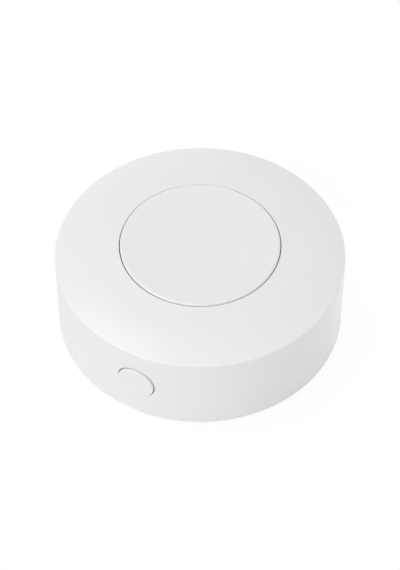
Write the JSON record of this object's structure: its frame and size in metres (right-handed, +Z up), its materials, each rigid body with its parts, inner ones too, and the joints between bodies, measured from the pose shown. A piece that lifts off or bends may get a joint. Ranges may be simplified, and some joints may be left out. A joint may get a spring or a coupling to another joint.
{
  "type": "smart button",
  "caption": "Round white wireless push button: crowned housing with a thumb button on top, a small side button on the wall, and a coin-turned bayonet cover over its coin cell.",
  "frame": {"origin": "centre of the flat base, on the surface that the button stands on", "axes": "+Z up through the main button; the side button faces -Y; +X completes the right-handed frame"},
  "size_m": [0.045, 0.0453, 0.0162],
  "materials": {
    "housing_plastic": "fine satin moulded white",
    "button_plastic": "fine satin moulded white",
    "cover_plastic": "fine spark-eroded white",
    "frame_plastic": "moulded off-white",
    "spring_wire": "drawn spring wire",
    "screw_steel": "zinc plated",
    "board_laminate": "green solder mask",
    "switch_plastic": "black moulded",
    "tinned_metal": "tinned",
    "sheet_steel": "stamped stainless sheet",
    "chip_epoxy": "black epoxy",
    "led_resin": "clear resin over a white base",
    "capacitor_ceramic": "fired ceramic",
    "copper_trace": "copper under solder mask",
    "contact_bronze": "plated spring bronze",
    "cell_steel": "nickel plated",
    "cell_seal": "black seal"
  },
  "bodies": {
    "housing": {"upper_housing": "housing_plastic", "inner_frame": "frame_plastic", "frame_screws": "screw_steel", "circuit_board": "board_laminate", "main_switch_base": "switch_plastic", "main_switch_terminals": "tinned_metal", "main_switch_cover": "sheet_steel", "main_switch_dome": "sheet_steel", "side_switch_base": "switch_plastic", "side_switch_terminals": "tinned_metal", "side_switch_cover": "sheet_steel", "radio_chip": "chip_epoxy", "crystal": "sheet_steel", "status_led": "led_resin", "chip_capacitors": "capacitor_ceramic", "chip_resistors": "chip_epoxy", "antenna_trace": "copper_trace", "positive_contact": "contact_bronze", "negative_contact": "contact_bronze", "battery_can": "cell_steel", "battery_gasket": "cell_seal", "battery_cap": "cell_steel", "return_spring": "spring_wire"},
    "thumb_button": {"main_button": "button_plastic", "main_switch_plunger": "switch_plastic"},
    "wall_button": {"side_button": "button_plastic", "side_switch_plunger": "switch_plastic"},
    "battery_cover": {"bottom_cover": "cover_plastic"}
  },
  "joints": [
    {"name": "main_button_press", "type": "slide", "parent": "housing", "child": "thumb_button", "axis": [0, 0, -1], "range_m": [0, 0.0003], "stiffness_N_per_m": 4000, "deforming": ["return_spring", "main_switch_dome"]},
    {"name": "side_button_press", "type": "slide", "parent": "housing", "child": "wall_button", "axis": [0, 1, 0], "range_m": [0, 0.0003], "stiffness_N_per_m": 5000},
    {"name": "cover_turn", "type": "hinge", "parent": "housing", "child": "battery_cover", "pos_m": [0, 0, 0], "axis": [0, 0, -1], "range_deg": [0, 45]}
  ]
}
